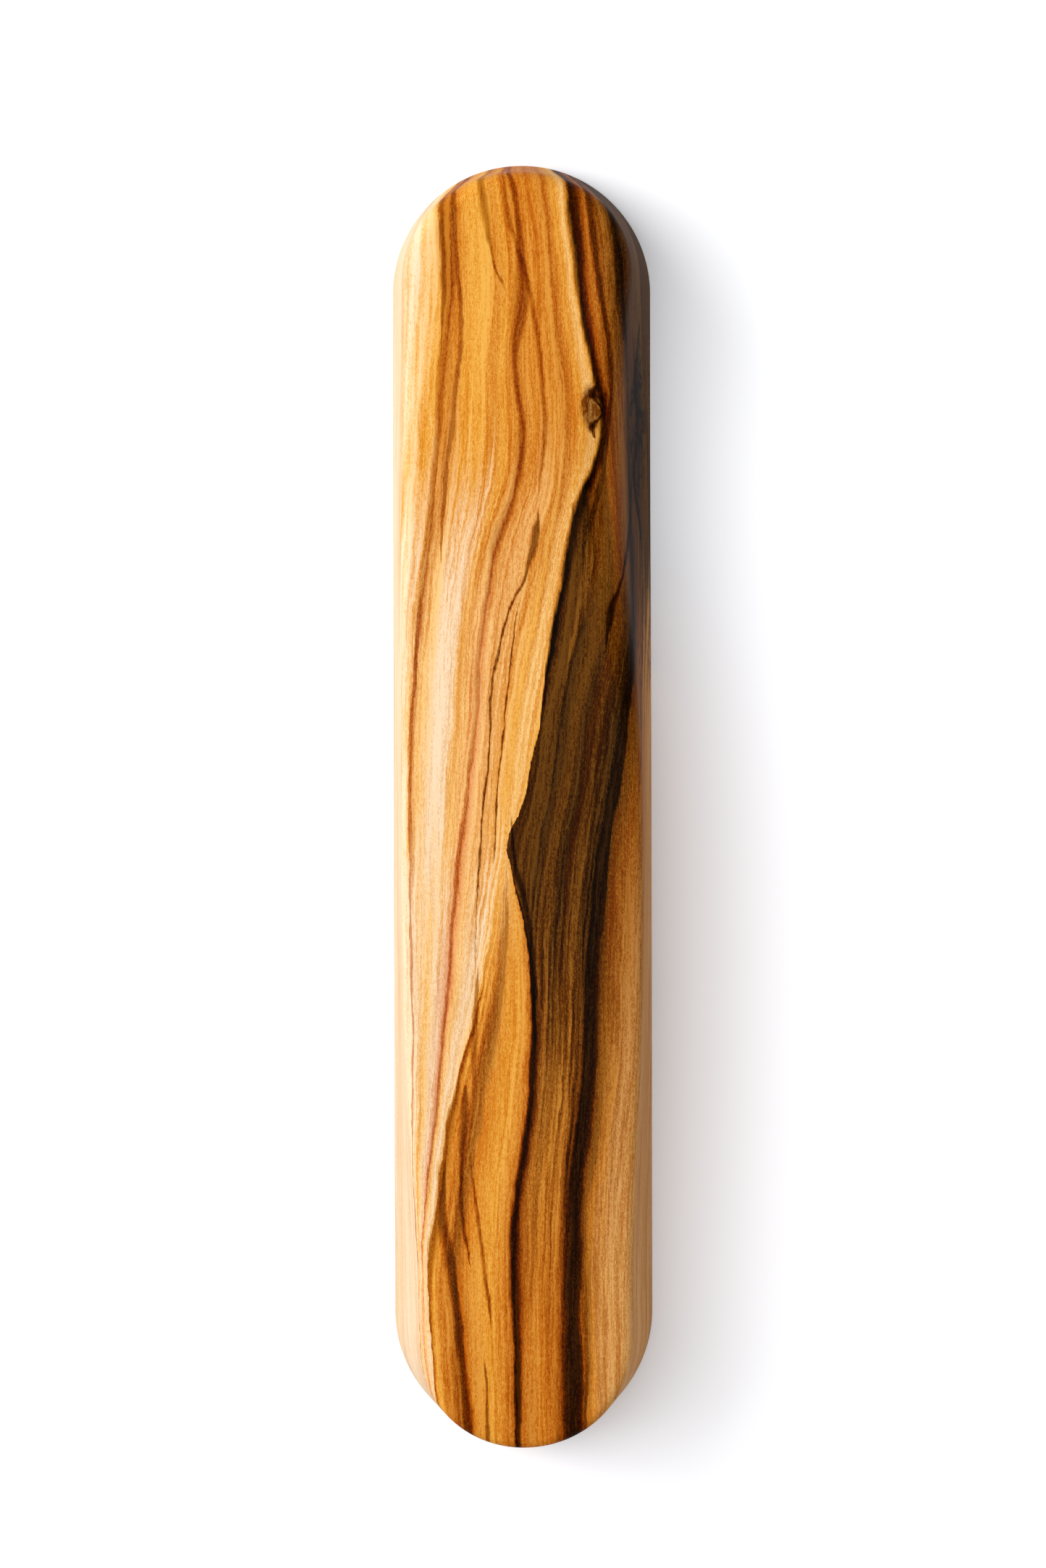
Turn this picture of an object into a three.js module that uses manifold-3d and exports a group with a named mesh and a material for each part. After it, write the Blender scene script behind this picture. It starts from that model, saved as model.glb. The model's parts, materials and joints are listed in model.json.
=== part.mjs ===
// Mezuzah case: a solid olive-wood case with a scroll pocket routed in its back. A dovetailed back
// slide closes the pocket. It holds two pads of foam tape, each under its paper liner, and it can
// also be screwed down. A parchment scroll in a clear sleeve lies in the pocket.
//
// The case lies on its back: +Z out of its front, +Y towards its top end, +X to its right. The
// origin is the centre of its back. All sizes are in millimetres.

import * as THREE from "three";
import { mergeVertices } from "three/addons/utils/BufferGeometryUtils.js";
import Module from "manifold-3d";

const wasm = await Module();
wasm.setup();

// The wood left around the slide's groove and in front of the pocket
const endWall = 10.83;
const sideWall = 6.1;
const frontWall = 4.3;

// The outside of the case: how far its sides and ends lean in from back to front
const sideLean = 1.5;
const endLean = 2.8;
const frontRounding = 2.4;

// The parchment scroll and its sleeve
const scrollLength = 100;
const scrollRadius = 5;
const scrollCoreRadius = 1.6;
const sleeveWall = 0.2;
const sleeveOverhang = 1;
const sleeveClearance = 0.3;

// The pocket that holds them
const pocketClearance = 0.6;
const pocketCornerRadius = 2;
const scrollPlay = 2;
const endStopClearance = 0.1;

// The back slide and its dovetail
const slideThickness = 3.5;
const slideShoulder = 3;
const dovetailSlope = 0.25;
const slideClearance = 0.2;
const slideEndMargin = 2.5;

// The screw holes in the slide, with their heads on its inner face
const screwRadius = 1.75;
const screwHeadRadius = 3.4;
const screwHeadDepth = 1.8;
const screwToPocket = 1.2;

// The thumb notch near the open end of the slide
const notchHalfWidth = 5.5;
const notchHalfLength = 2.6;
const notchDepth = 1.2;
const notchFromEnd = 7;

// The foam tape pads and their liners
const padLength = 38;
const padWidth = 11;
const padThickness = 0.8;
const padSpacing = 56;
const padClearance = 0.4;
const linerThickness = 0.2;

// Facets
const arcSteps = 28;
const roundSteps = 32;
const roundingSteps = 4;

// Sizes that follow from those above
const sleeveInnerRadius = scrollRadius + sleeveClearance;
const sleeveRadius = sleeveInnerRadius + sleeveWall;
const sleeveHalfLength = scrollLength / 2 + sleeveOverhang;
const pocketHalfWidth = sleeveRadius + pocketClearance;
const scrollAxisHeight = slideThickness + pocketHalfWidth;
const pocketTop = scrollAxisHeight + pocketHalfWidth;
const caseThickness = pocketTop + frontWall;
const grooveDepth = slideThickness + slideClearance;

// The corners of the pocket meet the square end of the sleeve before the end wall does.
const sleeveIntoCorner = Math.max(0, sleeveRadius - (pocketHalfWidth - pocketCornerRadius));
const cornerRoom = pocketCornerRadius - Math.sqrt(pocketCornerRadius ** 2 - sleeveIntoCorner ** 2);
const pocketHalfLength = sleeveHalfLength + scrollPlay + cornerRoom + endStopClearance;

const slideHalfWidth = pocketHalfWidth + slideShoulder;
const screwY = pocketHalfLength + screwToPocket + screwHeadRadius;
const slideTopY = screwY + screwHeadRadius + slideEndMargin;
const caseLength = 2 * (slideTopY + endWall);
const caseWidth = 2 * (slideHalfWidth + sideWall);
const notchY = notchFromEnd - caseLength / 2;
const pastTheCase = 5;

function toSolid(geometry) {
  const bare = geometry.clone();
  bare.deleteAttribute("normal");
  bare.deleteAttribute("uv");
  const merged = mergeVertices(bare, 1e-4);
  const vertProperties = Float32Array.from(merged.attributes.position.array);
  const triVerts = Uint32Array.from(merged.index.array);
  return new wasm.Manifold(new wasm.Mesh({ numProp: 3, vertProperties, triVerts }));
}

function toGeometry(solid) {
  const mesh = solid.getMesh();
  const geometry = new THREE.BufferGeometry();
  geometry.setAttribute("position", new THREE.BufferAttribute(mesh.vertProperties, 3));
  geometry.setIndex(new THREE.BufferAttribute(mesh.triVerts, 1));
  geometry.computeVertexNormals();
  return geometry;
}

function boxSolid(width, length, height, x, y, z) {
  return toSolid(new THREE.BoxGeometry(width, length, height).translate(x, y, z));
}

// Two half circles joined by straight sides, its long way along Y.
function stadium(length, width) {
  const radius = width / 2;
  const centre = length / 2 - radius;
  const shape = new THREE.Shape();
  shape.absarc(0, centre, radius, 0, Math.PI, false);
  shape.absarc(0, -centre, radius, Math.PI, 2 * Math.PI, false);
  shape.closePath();
  return shape;
}

function roundedRectangle(halfWidth, halfLength, radius) {
  const x = halfWidth - radius;
  const y = halfLength - radius;
  const shape = new THREE.Shape();
  shape.absarc(x, y, radius, 0, Math.PI / 2, false);
  shape.absarc(-x, y, radius, Math.PI / 2, Math.PI, false);
  shape.absarc(-x, -y, radius, Math.PI, 1.5 * Math.PI, false);
  shape.absarc(x, -y, radius, 1.5 * Math.PI, 2 * Math.PI, false);
  shape.closePath();
  return shape;
}

// The block before its back is cut: a stadium whose sides and ends lean in towards the front, with
// a rounded front edge. The extrusion rounds its lower edge too, so it starts below the back and a
// level cut takes that edge away.
function caseBlock() {
  const geometry = new THREE.ExtrudeGeometry(stadium(caseLength, caseWidth), {
    depth: caseThickness - frontRounding + pastTheCase,
    curveSegments: arcSteps,
    bevelThickness: frontRounding,
    bevelSize: frontRounding,
    bevelOffset: -frontRounding,
    bevelSegments: roundingSteps,
  });
  geometry.translate(0, 0, -pastTheCase);
  const points = geometry.attributes.position;
  for (let i = 0; i < points.count; i += 1) {
    const rise = points.getZ(i) / caseThickness;
    points.setX(i, points.getX(i) * (1 - (rise * sideLean * 2) / caseWidth));
    points.setY(i, points.getY(i) * (1 - (rise * endLean * 2) / caseLength));
  }
  const below = frontRounding + 2 * pastTheCase;
  return toSolid(geometry).subtract(
    boxSolid(2 * caseWidth, 2 * caseLength, below, 0, 0, -below / 2)
  );
}

// A dovetail strip, narrow at the back and wider inside the case, open past the bottom end and
// with a round end at topY, as a dovetail cutter leaves it. It starts a little below the back.
function dovetail(halfWidth, depth, topY) {
  const below = 1;
  const outerHalfWidth = halfWidth - below * dovetailSlope;
  const innerHalfWidth = halfWidth + depth * dovetailSlope;
  const section = new THREE.Shape();
  section.moveTo(-outerHalfWidth, -below);
  section.lineTo(outerHalfWidth, -below);
  section.lineTo(innerHalfWidth, depth);
  section.lineTo(-innerHalfWidth, depth);
  section.closePath();
  const centreY = topY - halfWidth;
  const run = centreY + caseLength / 2 + pastTheCase;
  const strip = new THREE.ExtrudeGeometry(section, { depth: run, bevelEnabled: false });
  const end = new THREE.LatheGeometry(
    [
      new THREE.Vector2(0, -below),
      new THREE.Vector2(outerHalfWidth, -below),
      new THREE.Vector2(innerHalfWidth, depth),
      new THREE.Vector2(0, depth),
    ],
    2 * roundSteps
  );
  return toSolid(strip.rotateX(Math.PI / 2).translate(0, centreY, 0)).add(
    toSolid(end.rotateX(Math.PI / 2).translate(0, centreY, 0))
  );
}

// The groove's flanks and floor stand clear of the slide by the same gap.
function groove() {
  const flankGap = slideClearance * Math.hypot(1, dovetailSlope);
  return dovetail(slideHalfWidth + flankGap, grooveDepth, slideTopY + flankGap);
}

function pocket() {
  const geometry = new THREE.ExtrudeGeometry(
    roundedRectangle(pocketHalfWidth, pocketHalfLength, pocketCornerRadius),
    { depth: pocketTop - slideThickness / 2, bevelEnabled: false, curveSegments: 6 }
  );
  return toSolid(geometry.translate(0, 0, slideThickness / 2));
}

function caseBody() {
  return caseBlock().subtract(groove()).subtract(pocket());
}

function screwHole(y) {
  const profile = [
    new THREE.Vector2(0, -1),
    new THREE.Vector2(screwRadius, -1),
    new THREE.Vector2(screwRadius, slideThickness - screwHeadDepth),
    new THREE.Vector2(screwHeadRadius, slideThickness),
    new THREE.Vector2(screwHeadRadius, slideThickness + 1),
    new THREE.Vector2(0, slideThickness + 1),
  ];
  const geometry = new THREE.LatheGeometry(profile, roundSteps);
  return toSolid(geometry.rotateX(Math.PI / 2).translate(0, y, 0));
}

function thumbNotch() {
  const geometry = new THREE.SphereGeometry(1, roundSteps, roundSteps / 2);
  return toSolid(geometry.scale(notchHalfWidth, notchHalfLength, notchDepth).translate(0, notchY, 0));
}

function padRecess(y) {
  const depth = padThickness + linerThickness;
  const width = padWidth + 2 * padClearance;
  const length = padLength + 2 * padClearance;
  return boxSolid(width, length, depth + 1, 0, y, (depth - 1) / 2);
}

// The slide runs out through the bottom of the case, and its end completes the outline there.
function backSlide() {
  return dovetail(slideHalfWidth, slideThickness, slideTopY)
    .intersect(caseBlock())
    .subtract(screwHole(screwY))
    .subtract(screwHole(-screwY))
    .subtract(thumbNotch())
    .subtract(padRecess(padSpacing / 2))
    .subtract(padRecess(-padSpacing / 2));
}

// A tube along Y.
function tube(innerRadius, outerRadius, halfLength) {
  const profile = [
    new THREE.Vector2(innerRadius, -halfLength),
    new THREE.Vector2(outerRadius, -halfLength),
    new THREE.Vector2(outerRadius, halfLength),
    new THREE.Vector2(innerRadius, halfLength),
    new THREE.Vector2(innerRadius, -halfLength),
  ];
  return new THREE.LatheGeometry(profile, roundSteps);
}

const olive = new THREE.MeshStandardMaterial({ color: 0xc07a33, roughness: 0.35, metalness: 0 });
const oliveBack = new THREE.MeshStandardMaterial({ color: 0xcf9a55, roughness: 0.55, metalness: 0 });
const parchment = new THREE.MeshStandardMaterial({ color: 0xe9dcc0, roughness: 0.8, metalness: 0 });
const clearFilm = new THREE.MeshStandardMaterial({ color: 0xe8eef0, roughness: 0.1, metalness: 0 });
const foam = new THREE.MeshStandardMaterial({ color: 0xf2f1ec, roughness: 0.9, metalness: 0 });
const liner = new THREE.MeshStandardMaterial({ color: 0xf6efd8, roughness: 0.45, metalness: 0 });

const group = new THREE.Group();

function addPiece(name, geometry, material, x = 0, y = 0, z = 0) {
  const mesh = new THREE.Mesh(geometry, material);
  mesh.name = name;
  mesh.position.set(x, y, z);
  group.add(mesh);
}

addPiece("case_body", toGeometry(caseBody()), olive);
addPiece("back_slide", toGeometry(backSlide()), oliveBack);
addPiece("scroll", tube(scrollCoreRadius, scrollRadius, scrollLength / 2), parchment, 0, 0, scrollAxisHeight);
addPiece(
  "scroll_sleeve", tube(sleeveInnerRadius, sleeveRadius, sleeveHalfLength), clearFilm, 0, 0, scrollAxisHeight
);

for (const [place, y] of [["upper", padSpacing / 2], ["lower", -padSpacing / 2]]) {
  const padGeometry = new THREE.BoxGeometry(padWidth, padLength, padThickness);
  const linerGeometry = new THREE.BoxGeometry(padWidth, padLength, linerThickness);
  addPiece(`${place}_tape_pad`, padGeometry, foam, 0, y, linerThickness + padThickness / 2);
  addPiece(`${place}_liner`, linerGeometry, liner, 0, y, linerThickness / 2);
}

export default group;
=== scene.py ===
# %% [markdown]
# # A mezuzah case in olive wood
#
# A mezuzah case holds a small rolled parchment on a door post. This one is a single block of olive
# wood with round ends, hollowed from behind and closed by a sliding back. Almost all of what a
# viewer sees is polished wood, so most of this lesson is about building wood that runs right
# through the block, as the real figure does.
#
# The CAD model is loaded first. It fixes where everything is, and nothing here moves it.

# %% Load the frame
import json
import math
from functools import reduce

import bmesh
import bpy
import numpy as np
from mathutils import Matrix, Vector

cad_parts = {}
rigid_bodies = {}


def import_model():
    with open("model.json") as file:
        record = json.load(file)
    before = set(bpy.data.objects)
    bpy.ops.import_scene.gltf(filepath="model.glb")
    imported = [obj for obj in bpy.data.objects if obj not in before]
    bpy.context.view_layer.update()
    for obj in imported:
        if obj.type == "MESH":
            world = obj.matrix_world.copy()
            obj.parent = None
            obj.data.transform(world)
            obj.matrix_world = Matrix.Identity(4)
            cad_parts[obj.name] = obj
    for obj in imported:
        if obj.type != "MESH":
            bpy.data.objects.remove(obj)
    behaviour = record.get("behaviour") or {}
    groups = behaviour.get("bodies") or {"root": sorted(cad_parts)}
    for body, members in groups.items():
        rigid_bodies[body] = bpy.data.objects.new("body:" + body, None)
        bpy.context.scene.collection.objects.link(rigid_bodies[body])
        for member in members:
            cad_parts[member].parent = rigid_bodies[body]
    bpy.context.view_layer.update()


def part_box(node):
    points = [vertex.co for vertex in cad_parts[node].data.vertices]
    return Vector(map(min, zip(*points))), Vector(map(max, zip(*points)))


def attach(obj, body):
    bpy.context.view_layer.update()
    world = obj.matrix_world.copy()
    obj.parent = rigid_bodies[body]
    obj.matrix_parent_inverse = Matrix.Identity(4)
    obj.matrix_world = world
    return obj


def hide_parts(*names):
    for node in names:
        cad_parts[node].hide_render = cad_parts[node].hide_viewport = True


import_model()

MM = 0.001
case_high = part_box("case_body")[1]
slide_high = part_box("back_slide")[1]
HALF_WIDTH = case_high.x
HALF_LENGTH = case_high.y
THICKNESS = case_high.z
ARC_CENTRE = HALF_LENGTH - HALF_WIDTH
print("case", [round(2000 * v, 1) for v in (HALF_WIDTH, HALF_LENGTH, THICKNESS / 2)], "mm")

# %% [markdown]
# ## Camera
#
# The case is seen straight from above, a little nearer its top end, with no keystone: the two long
# sides stay parallel. A view camera does that with a shift of the lens, and so does Blender.
# Leaving the camera square to the table and shifting the frame keeps the sides parallel, where
# tilting the camera would make them converge.

# %% Camera
CAMERA_RIGHT = 0.0001
CAMERA_ALONG = 0.0245
CAMERA_HEIGHT = 0.478
CAMERA_TURN = math.radians(-0.12)
FOCAL_LENGTH = 93.05
FRAME_SHIFT = -0.1212

camera_data = bpy.data.cameras.new("camera")
camera_data.lens = FOCAL_LENGTH
camera_data.sensor_width = 36
camera_data.shift_y = FRAME_SHIFT
camera_data.clip_start = 0.01
camera = bpy.data.objects.new("camera", camera_data)
camera.location = (CAMERA_RIGHT, CAMERA_ALONG, CAMERA_HEIGHT)
camera.rotation_euler = (0, 0, CAMERA_TURN)
bpy.context.scene.collection.objects.link(camera)
bpy.context.scene.camera = camera
print("camera", round(CAMERA_HEIGHT * 1000), "mm up, lens", FOCAL_LENGTH, "mm")

# %% [markdown]
# ## Floor and light
#
# The floor is plain and nearly white. A large soft lamp stands low on the left, towards the top
# end, so the left side of the wood is the brightest and a soft shadow falls to the right. A second
# lamp, high up, lights the front. An even pale sky fills the rest.

# %% Floor and light
LIT_PLACE = Vector((0, 0, 0.01))
SKY_STRENGTH = 0.46
FLOOR_HALF = 3.0
FLOOR_DROP = 0.00002


def light_panel(name, place, width, height, watts):
    """A rectangular area lamp at place, facing the middle of the case."""
    data = bpy.data.lights.new(name, "AREA")
    data.shape = "RECTANGLE"
    data.size = width
    data.size_y = height
    data.energy = watts
    lamp = bpy.data.objects.new(name, data)
    lamp.location = place
    direction = LIT_PLACE - Vector(place)
    lamp.rotation_euler = direction.to_track_quat("-Z", "Y").to_euler()
    bpy.context.scene.collection.objects.link(lamp)
    return lamp


light_panel("window", (-0.54, 0.3, 0.3), width=0.45, height=0.8, watts=4.0)
light_panel("softbox", (-0.18, 0.02, 0.58), width=0.26, height=0.7, watts=3.2)

world = bpy.data.worlds.new("studio")
world.use_nodes = True
sky = world.node_tree.nodes["Background"]
sky.inputs["Color"].default_value = (1, 1, 1, 1)
sky.inputs["Strength"].default_value = SKY_STRENGTH
bpy.context.scene.world = world
bpy.context.scene.view_settings.view_transform = "Standard"

floor_mesh = bpy.data.meshes.new("floor")
floor_mesh.from_pydata(
    [(-FLOOR_HALF, -FLOOR_HALF, 0), (FLOOR_HALF, -FLOOR_HALF, 0),
     (FLOOR_HALF, FLOOR_HALF, 0), (-FLOOR_HALF, FLOOR_HALF, 0)], [], [(0, 1, 2, 3)])
floor = bpy.data.objects.new("floor", floor_mesh)
floor.location.z = -FLOOR_DROP
bpy.context.scene.collection.objects.link(floor)
floor_paint = bpy.data.materials.new("floor_paint")
floor_paint.use_nodes = True
floor_shader = floor_paint.node_tree.nodes["Principled BSDF"]
floor_shader.inputs["Base Color"].default_value = (0.89, 0.895, 0.92, 1)
floor_shader.inputs["Roughness"].default_value = 0.7
floor_mesh.materials.append(floor_paint)
print("floor", 2 * FLOOR_HALF, "m square")

# %% [markdown]
# ## A short way to write node trees
#
# A wood material has a few hundred nodes. Adding each by hand hides the idea, so this class turns
# each step of the recipe into one readable call. A call takes numbers or the results of other
# calls.

# %% A writer of node trees
class Recipe:
    """Adds nodes to a tree. Each method returns the socket that holds its result."""

    def __init__(self, tree):
        self.tree = tree

    def node(self, kind, settings=None, inputs=None):
        made = self.tree.nodes.new(kind)
        for name, value in (settings or {}).items():
            setattr(made, name, value)
        for key, value in (inputs or {}).items():
            self.feed(made.inputs[key], value)
        return made

    def feed(self, socket, value):
        if isinstance(value, bpy.types.NodeSocket):
            self.tree.links.new(value, socket)
        else:
            socket.default_value = value

    def math(self, operation, a, b=0.0, c=0.0):
        return self.node("ShaderNodeMath", {"operation": operation}, {0: a, 1: b, 2: c}).outputs[0]

    def plus(self, a, b):
        return self.math("ADD", a, b)

    def minus(self, a, b):
        return self.math("SUBTRACT", a, b)

    def times(self, a, b):
        return self.math("MULTIPLY", a, b)

    def ease(self, value, start, end, low=0.0, high=1.0):
        """Goes smoothly from low to high as value goes from start to end."""
        inputs = {0: value, 1: start, 2: end, 3: low, 4: high}
        settings = {"interpolation_type": "SMOOTHSTEP"}
        return self.node("ShaderNodeMapRange", settings, inputs).outputs[0]

    def share(self, value, start, end):
        """Goes straight from 0 to 1 as value goes from start to end."""
        return self.node("ShaderNodeMapRange", {}, {0: value, 1: start, 2: end}).outputs[0]

    def blend(self, share, a, b):
        """A number that goes straight from a to b as share goes from 0 to 1."""
        return self.node("ShaderNodeMix", {}, {0: share, 2: a, 3: b}).outputs[0]

    def place_in_mm(self):
        """The place of the shaded point on the object, in millimetres."""
        place = self.node("ShaderNodeTexCoord").outputs["Object"]
        scaled = self.node("ShaderNodeVectorMath", {"operation": "SCALE"}, {0: place, 3: 1000.0})
        return scaled.outputs[0]

    def split(self, vector):
        return self.node("ShaderNodeSeparateXYZ", {}, {0: vector}).outputs[:3]

    def point(self, x, y, z):
        return self.node("ShaderNodeCombineXYZ", {}, {0: x, 1: y, 2: z}).outputs[0]

    def noise(self, place, scale=1.0, detail=2.0, roughness=0.5):
        inputs = {"Vector": place, "Scale": scale, "Detail": detail, "Roughness": roughness}
        return self.node("ShaderNodeTexNoise", {}, inputs).outputs[0]

    def stretched_noise(self, place, scales, **settings):
        """Noise with a scale of its own along each axis. A small scale gives long streaks."""
        stretched = [self.times(part, scale) for part, scale in zip(place, scales)]
        return self.noise(self.point(*stretched), **settings)

    def centred(self, noise, weight):
        """A noise moved to lie around 0 and weighted."""
        return self.times(self.minus(noise, 0.5), weight)

    def bump(self, shader, strength, depth, height):
        """Lets height, from 0 to 1, roughen the surface by this depth in metres."""
        inputs = {"Strength": strength, "Distance": depth, "Height": height}
        self.feed(shader.inputs["Normal"], self.node("ShaderNodeBump", {}, inputs).outputs[0])

    def mix(self, share, a, b, blend="MIX"):
        settings = {"data_type": "RGBA", "blend_type": blend}
        return self.node("ShaderNodeMix", settings, {0: share, 6: a, 7: b}).outputs[2]

    def ramp(self, value, stops):
        """A colour ramp. stops is a list of (position from 0 to 1, colour)."""
        made = self.node("ShaderNodeValToRGB", {}, {0: value})
        elements = made.color_ramp.elements
        elements[0].position, elements[0].color = stops[0]
        elements[1].position, elements[1].color = stops[-1]
        for position, colour in stops[1:-1]:
            elements.new(position).color = colour
        return made.outputs[0]

    def gamma(self, tone, power):
        """A power above 1 makes a colour darker and richer, below 1 lighter and paler."""
        return self.node("ShaderNodeGamma", {}, {0: tone, 1: power}).outputs[0]

    def curve(self, value, points):
        """A smooth curve through points, which are (input, output) pairs from 0 to 1."""
        made = self.node("ShaderNodeFloatCurve", {}, {1: value})
        line = made.mapping.curves[0]
        line.points[0].location = points[0]
        line.points[1].location = points[-1]
        for place in points[1:-1]:
            line.points.new(*place)
        made.mapping.update()
        return made.outputs[0]


def new_material(name):
    """A material with its recipe and its main shader."""
    material = bpy.data.materials.new(name)
    material.use_nodes = True
    return material, Recipe(material.node_tree), material.node_tree.nodes["Principled BSDF"]


def colour(hex_code):
    """A colour written as on screen, turned into the light values that shaders use."""
    screen = np.array([int(hex_code[i:i + 2], 16) / 255 for i in (0, 2, 4)])
    linear = np.where(screen <= 0.04045, screen / 12.92, ((screen + 0.055) / 1.055) ** 2.4)
    return (*[float(v) for v in linear], 1.0)


print("node recipes ready")

# %% [markdown]
# ## The olive wood
#
# Olive grows slowly and twists, so its dark heart lines run as long, gently bending curves from one
# end of the block to the other. Painting them on the front alone would leave the sides blank. Here
# the figure is worked out in space instead. A few growth lines are drawn down the length of the
# block. Every point in the wood then gets a number that says between which two lines it lies, and
# the number picks its colour. The lines draw together with depth, so the sides, the ends and even
# the routed pocket show the wood they would be cut from.

# %% Wood colours
CREAM = colour("d1b18c")
PALE = colour("d1a05c")
SAND = colour("cc9656")
GOLD = colour("c7872e")
AMBER = colour("b87020")
ORANGE = colour("a45b15")
TAN = colour("80450c")
BROWN = colour("4b2603")
HEART = colour("281302")
DARK = colour("0b0400")
PINK = colour("bf703b")
BEIGE = colour("b67f42")
VEIL = colour("4a2b08")
OCHRE = colour("6e3c08")
RUST = colour("9c5224")
SOOT = colour("190901")
UMBER = colour("2c1804")
print("wood palette of 17 colours")

# %% Growth lines
# Each line is a short list of places, in millimetres: how far along the case it passes, and how far
# to the right of the middle it lies there. The first and the last stand outside the block.
LINES = {
    "outer_left": [(-80, -24), (80, -24)],
    "brown_pair": [(-80, -10.2), (-60, -12.0), (-44, -12.7), (-20, -12.4), (0, -12.8), (18, -12.2),
                   (35, -10.2), (50, -8.9), (60, -8.3), (80, -9.2)],
    "middle": [(-80, -9.4), (-60, -11.3), (-50, -11.7), (-42, -10.7), (-29, -9.4), (-12, -7.8),
               (8, -5.7), (28, -3.4), (40, 0.0), (52, -0.6), (60, 0.1), (80, -3.2)],
    "lens_left": [(-80, -8.6), (-60, -10.5), (-52, -10.9), (-44, -9.7), (-33, -8.0), (-20, -4.6),
                  (-5, -2.0), (8, -0.7), (27, 2.9), (42, 5.6), (60, 3.7), (80, 1.6)],
    "heart_edge": [(-80, -0.7), (-60, -0.8), (-48, -1.2), (-33, 0.6), (-22, 1.0), (-13, 0.0),
                   (-6.5, -1.3), (-4, -1.8), (0, -0.3), (3, 0.3), (10, 1.9), (18, 3.0), (26, 4.5),
                   (34, 6.2), (44, 9.5), (50, 8.3), (57, 7.0), (80, 4.8)],
    "long_vein": [(-80, 6.5), (-60, 5.7), (-45, 6.0), (-30, 7.5), (-10, 8.6), (5, 11.1), (12, 12.1),
                  (24, 14.2), (45, 13.6), (60, 11.6), (80, 9.0)],
    "outer_right": [(-80, 22), (0, 24), (80, 22)],
}
LENGTH_SPAN = 160.0
WIDTH_SPAN = 60.0


def route(recipe, along, places):
    """How far right a line lies, in millimetres, at a place along the case from 0 to 1."""
    points = [(y / LENGTH_SPAN + 0.5, x / WIDTH_SPAN + 0.5) for y, x in places]
    return recipe.times(recipe.minus(recipe.curve(along, points), 0.5), WIDTH_SPAN)


print(len(LINES), "growth lines")

# %% [markdown]
# Three colour ramps give the wood at the top, the middle and the bottom of the case, because the
# heart is narrow at the top and fills the right half lower down. Each position is a growth line's
# number plus how far the place is towards the next line.

# %% Bands of colour
TOP_BANDS = [
    (0.0, CREAM), (0.68, CREAM), (0.8, PALE), (0.9, GOLD), (1.0, AMBER), (1.06, ORANGE),
    (1.15, AMBER), (1.3, GOLD), (1.5, GOLD), (1.68, AMBER), (1.78, GOLD), (1.9, AMBER),
    (2.0, ORANGE), (2.15, AMBER), (2.4, AMBER), (2.7, AMBER), (2.95, ORANGE), (3.1, AMBER),
    (3.4, GOLD), (3.6, PALE), (3.85, GOLD), (4.0, BROWN), (4.12, HEART), (4.32, TAN), (4.5, ORANGE),
    (4.72, TAN), (5.0, HEART), (5.1, BROWN), (5.3, VEIL), (6.0, VEIL)]
MIDDLE_BANDS = [
    (0.0, CREAM), (0.9, CREAM), (0.98, PALE), (1.0, ORANGE), (1.05, SAND), (1.15, PALE),
    (1.3, CREAM), (1.55, CREAM), (1.75, PALE), (1.9, SAND), (2.0, PINK), (2.12, SAND), (2.5, SAND),
    (2.9, GOLD), (3.1, PALE), (3.6, PALE), (3.96, GOLD), (4.0, BROWN), (4.06, HEART), (4.25, BROWN),
    (4.45, HEART), (4.65, BROWN), (4.85, HEART), (5.0, DARK), (5.04, BROWN), (5.2, TAN),
    (5.6, BEIGE), (6.0, BEIGE)]
BOTTOM_BANDS = [
    (0.0, CREAM), (1.0, CREAM), (1.4, PALE), (1.7, CREAM), (2.0, PINK), (2.2, PALE), (2.6, CREAM),
    (2.92, PALE), (3.0, GOLD), (3.1, AMBER), (3.22, ORANGE), (3.34, TAN), (3.45, AMBER),
    (3.7, GOLD), (3.85, AMBER), (3.96, ORANGE), (4.0, BROWN), (4.08, TAN), (4.25, ORANGE),
    (4.55, AMBER), (4.8, ORANGE), (4.95, BROWN), (5.06, TAN), (5.12, AMBER), (5.22, BEIGE),
    (6.0, BEIGE)]

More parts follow.
